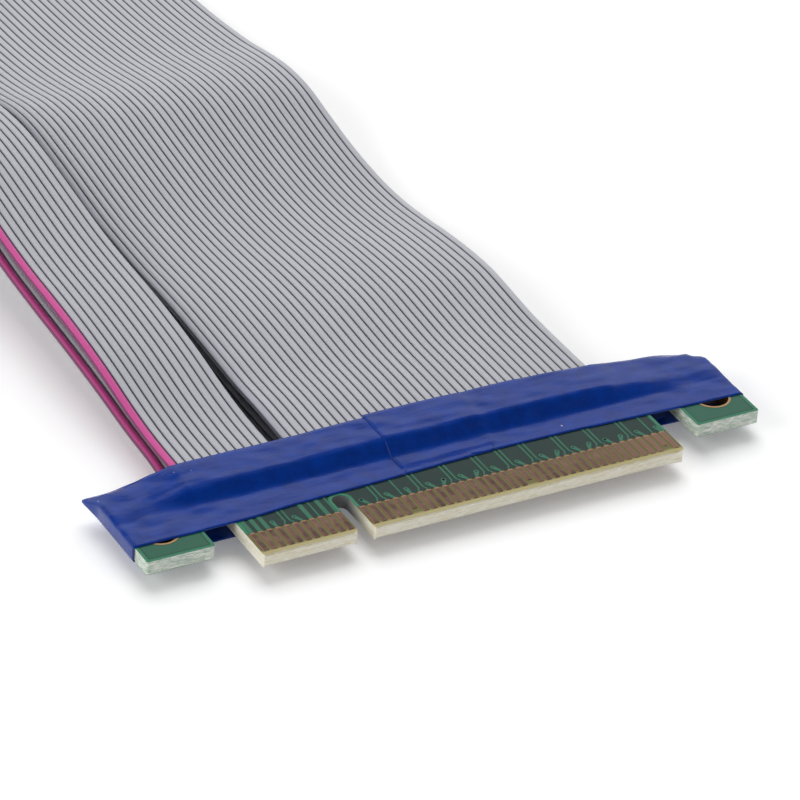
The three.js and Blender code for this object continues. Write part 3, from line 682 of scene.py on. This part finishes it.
def tarnished_plating():
    """Thin gold over nickel, browned by tarnish, with a painted highlight along its edges."""
    material, tree, shader = finish("tarnished_flash_gold", Metallic=0.75, Roughness=0.42)
    place = key_millimetres(tree)
    sides = node(tree, "SeparateXYZ", {0: place})
    across = node(tree, "Math", {0: sides.outputs[0]}, operation="FRACT")
    # Painted highlight: a brighter line along the left and rear edge of each contact.
    left_edge_highlight = node(tree, "MapRange", {0: across, 1: 0.27, 2: 0.21})
    rear_edge_highlight = node(tree, "MapRange", {0: sides.outputs[1], 1: -0.3, 2: -0.1})
    edge_highlight = node(tree, "Math", {0: left_edge_highlight, 1: rear_edge_highlight}, operation="MAXIMUM")
    each = node(tree, "Mapping", {"Vector": place, "Scale": (0.45, 0.5, 1.0)})
    tarnish = node(tree, "TexNoise", {"Vector": each, "Scale": 1.0, "Detail": 4.0, "Roughness": 0.6})
    spread = node(tree, "MapRange", {0: tarnish.outputs[0], 1: 0.35, 2: 0.68})
    # The contacts grow lighter towards the right, from x = 22 to 36 mm.
    to_right = node(tree, "MapRange", {0: sides.outputs[0], 1: 22.0, 2: 36.0})
    lighter_share = node(tree, "Math", {0: spread, 1: to_right}, operation="MAXIMUM")
    brown = node(tree, "Mix", {0: lighter_share, 6: ink("#6B514B"), 7: ink("#A07E6E")}, data_type="RGBA")
    colour = node(tree, "Mix", {0: edge_highlight, 6: brown, 7: ink("#CC9C78")}, data_type="RGBA")
    grain = node(tree, "Mapping", {"Vector": place, "Scale": (14.0, 1.2, 1.0)})
    wear = node(tree, "TexNoise", {"Vector": grain, "Scale": 1.0, "Detail": 3.0})
    surface(tree, shader, colour, wear, strength=0.25, depth=0.02)
    return material


plating = tarnished_plating()


def contact_row(name, face, side, shortened):
    """A row of contacts on a face of the board."""
    bm = bmesh.new()
    for i, x in enumerate(contacts):
        length = CONTACT_LENGTH - (SHORT_BY if i in shortened else 0)
        middle = Vector((x, -length / 2, face + side * CONTACT_LIFT / 2))
        sizes = Matrix.Diagonal((CONTACT_WIDTH, length, CONTACT_LIFT, 1))
        bar = bmesh.ops.create_cube(bm, size=1, matrix=Matrix.Translation(middle) @ sizes)
        rim = {e for v in bar["verts"] for e in v.link_edges}
        bevel_edges(bm, list(rim), CONTACT_BEVEL, 2)
    settle(bm, name, [plating])


contact_row("contacts_top", BOARD_TOP, 1, SHORT_ON_TOP)
contact_row("contacts_bottom", BOARD_BOTTOM, -1, SHORT_BELOW)


def plated_rings(name, holes):
    """A thin plated lining in each screw hole: a small section spun round the hole."""
    bm = bmesh.new()
    low, high = BOARD_BOTTOM - RING_LIFT, BOARD_TOP + RING_LIFT
    inside, outside = HOLE_RADIUS - RING_THICKNESS, HOLE_RADIUS + RING_WIDTH
    for x, y in holes:
        section = [(inside, low), (outside, low), (outside, high), (inside, high)]
        points = [bm.verts.new((x + r, y, z)) for r, z in section]
        sides = [bm.edges.new((a, b)) for a, b in zip(points, points[1:] + points[:1])]
        bmesh.ops.spin(bm, geom=points + sides, cent=(x, y, 0), axis=(0, 0, 1), angle=2 * math.pi,
                       steps=48, use_merge=True)
    bmesh.ops.recalc_face_normals(bm, faces=bm.faces)
    settle(bm, name, [ring_gold])


ring_gold, _, _ = finish("flash_gold_ring", Base_Color=ink("#D8AE7E"), Metallic=0.9, Roughness=0.3)
plated_rings("edge_hole_rings", EDGE_HOLES)

# %% [markdown]
# The tape is thin glossy PVC, stretched as it was wound. Its blue is a little uneven where
# it sticks to what lies under it, shallow ripples run along it, and it has caught a few
# specks of dust. Modelling the ripples would take a very fine mesh, so noise bends the
# light there instead. The specks are cells of a Voronoi pattern: chance picks a few of
# them, and only a dot in the middle of each is pale.

# %% Blue tape finish
def blue_tape_finish():
    """Glossy PVC tape: deep blue, slightly mottled where it sticks, with specks of dust."""
    material, tree, shader = finish("glossy_blue_pvc_tape", Roughness=0.22, IOR=1.52)
    place = key_millimetres(tree)
    mottle = node(tree, "TexNoise", {"Vector": place, "Scale": 0.55, "Detail": 5.0, "Roughness": 0.6})
    shade = node(tree, "MapRange", {0: mottle.outputs[0], 1: 0.35, 2: 0.7})
    blue = node(tree, "Mix", {0: shade, 6: ink("#002B7C"), 7: ink("#003592")}, data_type="RGBA")
    cells = node(tree, "TexVoronoi", {"Vector": place, "Scale": 0.55, "Randomness": 1.0})
    near = node(tree, "MapRange", {0: cells.outputs["Distance"], 1: 0.075, 2: 0.045})
    chance = node(tree, "SeparateColor", {0: cells.outputs["Color"]})
    rare = node(tree, "Math", {0: chance.outputs[0], 1: 0.86}, operation="GREATER_THAN")
    dust = node(tree, "Math", {0: near, 1: rare}, operation="MULTIPLY")
    colour = node(tree, "Mix", {0: dust, 6: blue, 7: ink("#A9B4DA")}, data_type="RGBA")
    stretch = node(tree, "Mapping", {"Vector": place, "Scale": (0.5, 1.6, 1.0)})
    ripples = node(tree, "TexNoise", {"Vector": stretch, "Scale": 0.9, "Detail": 4.0, "Roughness": 0.55})
    surface(tree, shader, colour, ripples, strength=0.35, depth=0.12)
    return material


blue_tape = blue_tape_finish()
print("tape finish:", blue_tape.name)

# %% [markdown]
# The tape starts on top near the middle, goes round the left end, under the board, round
# the right end and back over its own start to a cut end. Behind the board it bridges the
# step up to the ribbons. At the board's rear corners nothing lies inside it, and its two
# layers pinch together. A cloth simulation could wrap it, but its lap, its step and its
# corners have known places. So the winding is a grid whose columns go round the board: a
# height for each place says how it lies, and a Solidify modifier gives it thickness.

# %% Tape windings
TAPE_THICKNESS = 0.09
TAPE_STEP = 0.4
TAPE_STATIONS = 30
LAP_LIFT = 0.09
LAP_INNER_END = 20.2
SEAM = 8.4
INNER_SETBACK = 1.3
OUTER_OVERHANG = 0.4
END_ROOM = 0.15
END_BULGE = 0.3
END_SQUARENESS = 0.45
TOP_ROOM, UNDER_ROOM, UNDER_SAG = 0.05, 0.08, 0.98
RAMP_FROM, RAMP_TO = 4.5, 6.4
RAMP_SOFTNESS = 0.35
PINCH_REACH = 2.6
PINCH_LEVEL, PINCH_HALF, PINCH_SHARE = 2.35, 0.1, 0.95
LEFT_PULL, RIGHT_PULL = 0.7, 1.0
WRINKLE_HEIGHT = 0.09

# Places along x, the rear edge's height over the board, and the front edge's y
TAPE_X = [-24.2, -21.5, -18.5, -16, -14.6, -10.4, -5, -0.9, 4, 7.7, 14, 22, 30.7, 33, 37.2, 39.6, 43, 46.9,
          51.1]
REAR_RISE = [0.16, 0.2, 0.3, 0.75, 1.14, 1.2, 1.2, 1.2, 1.3, 1.38, 1.38, 1.38, 1.4, 1.4, 1.2, 0.85, 0.5,
             0.3, 0.2]
FRONT_EDGE = [2.3, 2.3, 2.3, 2.3, 2.35, 2.4, 2.85, 3.0, 3.15, 3.3, 3.6, 3.9, 3.75, 3.6, 3.45, 3.35, 3.2,
              3.1, 3.0]


def ease(value, start, end):
    """From 0 at start to 1 at end, with soft ends."""
    t = np.clip((value - start) / (end - start), 0, 1)
    return t * t * (3 - 2 * t)


def tape_winding(name, mouth, direction, rear_rise, front_edge, node_name):
    """A winding of tape from its mouth on the ribbons towards the bare part of its board."""
    left, right = BOARD_LEFT - END_ROOM, BOARD_RIGHT + END_ROOM
    inner_top = np.arange(LAP_INNER_END, left + END_BULGE, -TAPE_STEP)
    below = np.arange(left + END_BULGE, right - END_BULGE, TAPE_STEP)
    outer_top = np.arange(right - END_BULGE, SEAM, -TAPE_STEP)
    turn = np.linspace(0, math.pi, 11)[1:-1]
    end_z = np.sign(np.cos(turn)) * np.abs(np.cos(turn)) ** END_SQUARENESS
    end_x = END_BULGE * (1 - np.sin(turn) ** END_SQUARENESS)
    xs = np.concatenate([inner_top, left + end_x, below, right - end_x, outer_top])
    side = np.concatenate([np.ones_like(inner_top), end_z, -np.ones_like(below), -end_z,
                           np.ones_like(outer_top)])
    outer = np.concatenate([np.zeros(len(xs) - len(outer_top)), np.ones(len(outer_top))])
    depth = np.abs(mouth - np.interp(xs, TAPE_X, front_edge))
    rise = np.interp(xs, TAPE_X, rear_rise)

    def shape(i, j):
        x, level = xs[i], side[i]
        # Across the tape: the hidden inner end is set back a little, and the lap hangs over.
        lapped = outer[i] * ease(x, LAP_INNER_END + 1.2, LAP_INNER_END)
        inner_hidden = (1 - outer[i]) * (level > 0) * ease(x, SEAM + 0.1, SEAM + 0.9)
        reach = depth[i] - inner_hidden * INNER_SETBACK * ease(x, LAP_INNER_END, SEAM + 2)
        overhang = OUTER_OVERHANG * outer[i] * ease(x, 34, 26)
        distance = -overhang + (reach + overhang) * j / TAPE_STATIONS
        y = mouth + direction * distance

        # Up: level on the ribbons, down a ramp, then level on the board.
        straight = np.clip((distance - RAMP_FROM) / (RAMP_TO - RAMP_FROM), 0, 1)
        ramp = 1 - straight + RAMP_SOFTNESS * (straight - ease(distance, RAMP_FROM, RAMP_TO))
        top = BOARD_TOP + TOP_ROOM + (rise[i] - TOP_ROOM) * ramp
        under = BOARD_BOTTOM - UNDER_ROOM - UNDER_SAG * ramp * ease(x, -18, -15) * ease(x, 41, 38)

        # At the rear corners both layers come together and are pulled inwards.
        left_corner, right_corner = ease(x, -22, -24), ease(x, 49, 51)
        pinch = ease(distance, PINCH_REACH, 0.0)
        beyond = np.maximum(pinch * (left_corner + right_corner),
                            ease(distance, 1.0, 0.0) * (ease(x, -17, -23) + ease(x, 45, 50)))
        top = top + (PINCH_LEVEL + PINCH_HALF - top) * beyond * PINCH_SHARE
        under = under + (PINCH_LEVEL - PINCH_HALF - under) * beyond * PINCH_SHARE

        # The lap lies over the inner end, and the free edge is less wrinkled than the middle.
        inner_edge = depth[i] - INNER_SETBACK
        over_inner = lapped * ease(distance, inner_edge + 0.25, inner_edge - 0.1)
        middle, half = (top + under) / 2, (top - under) / 2
        z = middle + half * level + LAP_LIFT * over_inner
        x = x - pinch * (LEFT_PULL * left_corner + RIGHT_PULL * right_corner)
        wrinkle = np.array([noise.noise((a * 0.35, b * 0.7, 3.0)) for a, b in zip(x, y)])
        quiet = ease(distance, reach - 0.2, reach - 2.5) * (level > 0.5)
        return np.stack([x, y, z + WRINKLE_HEIGHT * wrinkle * quiet], 1)

    bm, _, _ = tube_from_grid(len(xs) - 1, TAPE_STATIONS, shape, closed=False)
    bmesh.ops.recalc_face_normals(bm, faces=bm.faces)
    upper = max(bm.faces, key=lambda f: f.calc_center_median().z)
    if upper.normal.z < 0:
        bmesh.ops.reverse_faces(bm, faces=bm.faces)
    piece = settle(bm, name, [blue_tape], smooth=True, replaces=[node_name])
    thick = piece.modifiers.new("thickness", "SOLIDIFY")
    thick.thickness = TAPE_THICKNESS * MM
    thick.offset = 1


tape_winding("edge_tape_winding", EDGE_MOUTH, -1, REAR_RISE, FRONT_EDGE, "edge_tape")

# %% [markdown]
# The board at the far end is a plain rectangle that carries the card slot. It could be
# modelled from nothing, but it has the same laminate, mask, rings and tape, so the
# functions above make it again from other corners and places.

# %% Slot board
SLOT_BOARD_DEPTH = 20
SLOT_FROM_REAR = 6
SLOT_TAPE_WIDTH = 10.7
TAPE_PAST_BOARD = 1
slot_front = SLOT_MOUTH + TAPE_PAST_BOARD
slot_rear = slot_front + SLOT_BOARD_DEPTH
slot_middle = slot_rear - SLOT_FROM_REAR
SLOT_HOLES = [(x, slot_middle) for x, _ in EDGE_HOLES]
slot_board_corners = [[BOARD_LEFT, slot_front, HIDDEN_CORNER], [BOARD_RIGHT, slot_front, HIDDEN_CORNER],
                      [BOARD_RIGHT, slot_rear, 0.3], [BOARD_LEFT, slot_rear, 0.3]]
bm = flat_face([slot_board_corners], SLOT_HOLES, BOARD_BOTTOM)
thicken(bm, BOARD_TOP - BOARD_BOTTOM)
settle(bm, "slot_laminate", [laminate], replaces=["slot_board"])
mask_sheet("slot_mask_top", slot_board_corners, SLOT_HOLES, BOARD_TOP, False)
mask_sheet("slot_mask_bottom", slot_board_corners, SLOT_HOLES, BOARD_BOTTOM - MASK_THICKNESS, False)
plated_rings("slot_hole_rings", SLOT_HOLES)
plain_rise = [0.16, 0.18, 0.3, 0.75, 1.14] + [1.18] * 9 + [1.16, 0.8, 0.4, 0.25, 0.2]
plain_front = [SLOT_MOUTH + SLOT_TAPE_WIDTH] * len(TAPE_X)
tape_winding("slot_tape_winding", SLOT_MOUTH, 1, plain_rise, plain_front, "slot_tape")

# %% [markdown]
# The card slot is moulded in black glass-filled nylon, with a matt skin and softly broken
# edges. Its groove has a pocket for each contact on both sides, so the groove's outline is
# a comb. A boolean for each pocket would be slow and could fail, so the walls are pulled up
# from one outline and stand on a solid foot, with a peg at each end.

# %% Card slot
END_WALL = 2.3
SLOT_LEFT, SLOT_RIGHT = SHORT_TAB_LEFT - END_WALL, LONG_TAB_RIGHT + END_WALL
SLOT_WIDTH, SLOT_HEIGHT, CARD_DEPTH = 7.5, 11.25, 8.25
GROOVE_HALF = 0.885
POCKET_HALF_WIDTH, POCKET_DEPTH = 0.31, 0.95
KEY_WALL_HALF = 0.775
CARD_ROOM = 0.1
RIM_BEVEL = 0.4
PEG_FROM_END = 1.2
slot_bottom = BOARD_TOP + 0.05
slot_top = slot_bottom + SLOT_HEIGHT
groove_floor = slot_top - CARD_DEPTH


def moulded_nylon():
    """Black glass-filled nylon with the fine grain of a spark-eroded mould."""
    material, tree, shader = finish("moulded_black_nylon", Roughness=0.5, IOR=1.53)
    place = key_millimetres(tree)
    flow = node(tree, "TexNoise", {"Vector": place, "Scale": 0.25, "Detail": 3.0})
    colour = node(tree, "Mix", {0: flow.outputs[0], 6: ink("#17171A"), 7: ink("#232327")},
                  data_type="RGBA")
    grain = node(tree, "TexNoise", {"Vector": place, "Scale": 6.0, "Detail": 2.0})
    surface(tree, shader, colour, grain, strength=0.3, depth=0.03)
    return material


def comb_outline(low, high, places):
    """Corners of a groove from low to high, with a pocket on both sides at each place."""
    near, far = slot_middle - GROOVE_HALF, slot_middle + GROOVE_HALF
    w = POCKET_HALF_WIDTH
    corners = [(low, near)]
    for x in places:
        back = near - POCKET_DEPTH
        corners += [(x - w, near), (x - w, back), (x + w, back), (x + w, near)]
    corners += [(high, near), (high, far)]
    for x in reversed(places):
        back = far + POCKET_DEPTH
        corners += [(x + w, far), (x + w, back), (x - w, back), (x - w, far)]
    return corners + [(low, far)]


def slot_housing():
    """The walls round the two grooves, pulled up from their outline, on a solid foot."""
    bm = bmesh.new()
    near, far = slot_middle - SLOT_WIDTH / 2, slot_middle + SLOT_WIDTH / 2
    loops = [
        [(SLOT_LEFT, near), (SLOT_RIGHT, near), (SLOT_RIGHT, far), (SLOT_LEFT, far)],
        comb_outline(SHORT_TAB_LEFT - CARD_ROOM, -KEY_WALL_HALF, [x for x in contacts if x < 0]),
        comb_outline(KEY_WALL_HALF, LONG_TAB_RIGHT + CARD_ROOM, [x for x in contacts if x > 0]),
    ]
    for loop in loops:
        points = [bm.verts.new((x, y, groove_floor)) for x, y in loop]
        for a, b in zip(points, points[1:] + points[:1]):
            bm.edges.new((a, b))
    bmesh.ops.triangle_fill(bm, edges=bm.edges, use_beauty=True, normal=(0, 0, 1))
    thicken(bm, slot_top - groove_floor)

    def on_rim(vert):
        to_side = min(abs(vert.co.y - near), abs(vert.co.y - far),
                      abs(vert.co.x - SLOT_LEFT), abs(vert.co.x - SLOT_RIGHT))
        return max(abs(vert.co.z - slot_top), to_side) < 1e-4

    rim = [e for e in bm.edges if all(map(on_rim, e.verts)) and e.calc_face_angle(0) > 1]
    bevel_edges(bm, rim, RIM_BEVEL, 3)
    sizes = Matrix.Diagonal((SLOT_RIGHT - SLOT_LEFT, SLOT_WIDTH, groove_floor - slot_bottom, 1))
    middle = Vector(((SLOT_LEFT + SLOT_RIGHT) / 2, slot_middle, (groove_floor + slot_bottom) / 2))
    bmesh.ops.create_cube(bm, size=1, matrix=Matrix.Translation(middle) @ sizes)
    for x in (SLOT_LEFT + PEG_FROM_END, SLOT_RIGHT - PEG_FROM_END):
        place = Matrix.Translation((x, slot_middle, slot_bottom / 2))
        bmesh.ops.create_cone(bm, cap_ends=True, segments=24, radius1=0.8, radius2=1.0,
                              depth=slot_bottom, matrix=place)
    return bm


nylon = moulded_nylon()
settle(slot_housing(), "slot_housing_moulding", [nylon], replaces=["slot_housing"])

# %% [markdown]
# Each contact of the slot is a bent gold strip that leans out of its pocket and presses on
# the card, one from either side. A curve with a flat profile would do, but pulling the bent
# profile out to the strip's width takes far fewer faces, and there are nearly a hundred
# strips. Under the board, in two rows on each side, the solder of their tails forms cones.

# %% Slot contacts and their solder
SPRING_WIDTH = 0.5
SPRING_PROFILE = [(0.85, 0.2), (0.8, 3.0), (0.1, 5.0), (-0.28, 6.0), (0.0, 6.9), (0.45, 7.6)]
SPRING_THICKNESS = 0.16
TAIL_ROWS = (1.2, 3.0)
JOINT_HEIGHT = 0.96
bright_gold, _, _ = finish("flash_gold_spring", Base_Color=ink("#D9B26A"), Metallic=1.0, Roughness=0.28)
solder, _, _ = finish("reflowed_tin_solder", Base_Color=ink("#C9CBCC"), Metallic=1.0, Roughness=0.24)


def spring_strip(bm, x, side):
    """A bent strip that leans out of its pocket into the groove."""
    outline = [(u + SPRING_THICKNESS, v) for u, v in SPRING_PROFILE]
    outline += [(u, v) for u, v in reversed(SPRING_PROFILE)]
    points = []
    for u, v in outline:
        y = slot_middle + side * (GROOVE_HALF + u - 0.02)
        points.append(bm.verts.new((x - SPRING_WIDTH / 2, y, groove_floor + v)))
    pull(bm, [bm.faces.new(points)], (SPRING_WIDTH, 0, 0))


springs = bmesh.new()
joints = bmesh.new()
for i, x in enumerate(contacts):
    for side in (-1, 1):
        spring_strip(springs, x, side)
        place = (x, slot_middle + side * TAIL_ROWS[i % 2], BOARD_BOTTOM - JOINT_HEIGHT / 2)
        bmesh.ops.create_cone(joints, cap_ends=True, segments=12, radius1=0.12, radius2=0.45,
                              depth=JOINT_HEIGHT, matrix=Matrix.Translation(place))
bmesh.ops.recalc_face_normals(springs, faces=springs.faces)
settle(springs, "slot_springs", [bright_gold])
settle(joints, "slot_solder_joints", [solder])

# %% [markdown]
# The riser lies on a plain white sweep. The room could be evenly white, but then the tape
# would look pale all over. The sheet is bright low down behind the riser and the room above
# it is dark, so the tape's flat parts mirror the sheet and look milky, and its step up to
# the ribbons mirrors the ceiling and stays deep blue.
# A broad lamp overhead, which glossy surfaces don't mirror, gives the soft shadows.

# %% Floor, lamps and world
FLOOR_SIZE = 6.0
FLOOR_GLOW = 0.17
CEILING_STARTS, CEILING_FULL = 0.58, 0.74
LAMPS_AIM = (0, -0.08, 0)


def studio_floor():
    """A white floor that keeps shadows, and is a little brighter to the eye than it is lit."""
    bm = bmesh.new()
    bmesh.ops.create_grid(bm, x_segments=1, y_segments=1, size=FLOOR_SIZE / 2)
    mesh = bpy.data.meshes.new("floor")
    bm.to_mesh(mesh)
    bm.free()
    floor = bpy.data.objects.new("floor", mesh)
    bpy.context.scene.collection.objects.link(floor)
    material, tree, shader = finish("white_paper_sweep", Base_Color=ink("#F7F7F7"), Roughness=0.9)
    path = node(tree, "LightPath")
    seen = node(tree, "Math", {0: path.outputs["Is Camera Ray"], 1: path.outputs["Is Glossy Ray"]},
                operation="MAXIMUM")
    seen = node(tree, "Math", {0: seen, 1: path.outputs["Is Transmission Ray"]}, operation="MAXIMUM")
    glow = node(tree, "Math", {0: seen, 1: FLOOR_GLOW}, operation="MULTIPLY")
    shader.inputs["Emission Color"].default_value = (1, 1, 1, 1)
    tree.links.new(glow.outputs[0], shader.inputs["Emission Strength"])
    mesh.materials.append(material)


def area_lamp(name, place, size, power):
    """A soft square lamp that mirrors don't show."""
    lamp = bpy.data.lights.new(name, "AREA")
    lamp.size = size
    lamp.energy = power
    holder = bpy.data.objects.new(name, lamp)
    bpy.context.scene.collection.objects.link(holder)
    holder.location = place
    holder.rotation_euler = (Vector(LAMPS_AIM) - Vector(place)).to_track_quat("-Z", "Y").to_euler()
    holder.visible_glossy = False


def studio_world():
    """White to the eye; for light, bright low down and dark overhead."""
    world = bpy.data.worlds.new("white_sweep")
    world.use_nodes = True
    tree = world.node_tree
    background = tree.nodes["Background"]
    direction = node(tree, "TexCoord")
    up = node(tree, "SeparateXYZ", {0: direction.outputs["Generated"]})
    ceiling = node(tree, "MapRange", {0: up.outputs[2], 1: CEILING_STARTS, 2: CEILING_FULL},
                   interpolation_type="SMOOTHSTEP")
    room = node(tree, "Mix", {0: ceiling, 6: (0.7, 0.7, 0.71, 1), 7: (0.04, 0.04, 0.045, 1)},
                data_type="RGBA")
    path = node(tree, "LightPath")
    made = node(tree, "Mix", {0: path.outputs["Is Camera Ray"], 6: room, 7: (1, 1, 1, 1)},
                data_type="RGBA")
    tree.links.new(made.outputs[2], background.inputs["Color"])
    bpy.context.scene.world = world


studio_floor()
studio_world()
area_lamp("side_fill", place=(-1.3, 0.0, 0.55), size=0.9, power=8.0)
area_lamp("overhead", place=(0.45, 0.85, 1.2), size=1.3, power=21.5)
bpy.context.scene.view_settings.view_transform = "Standard"
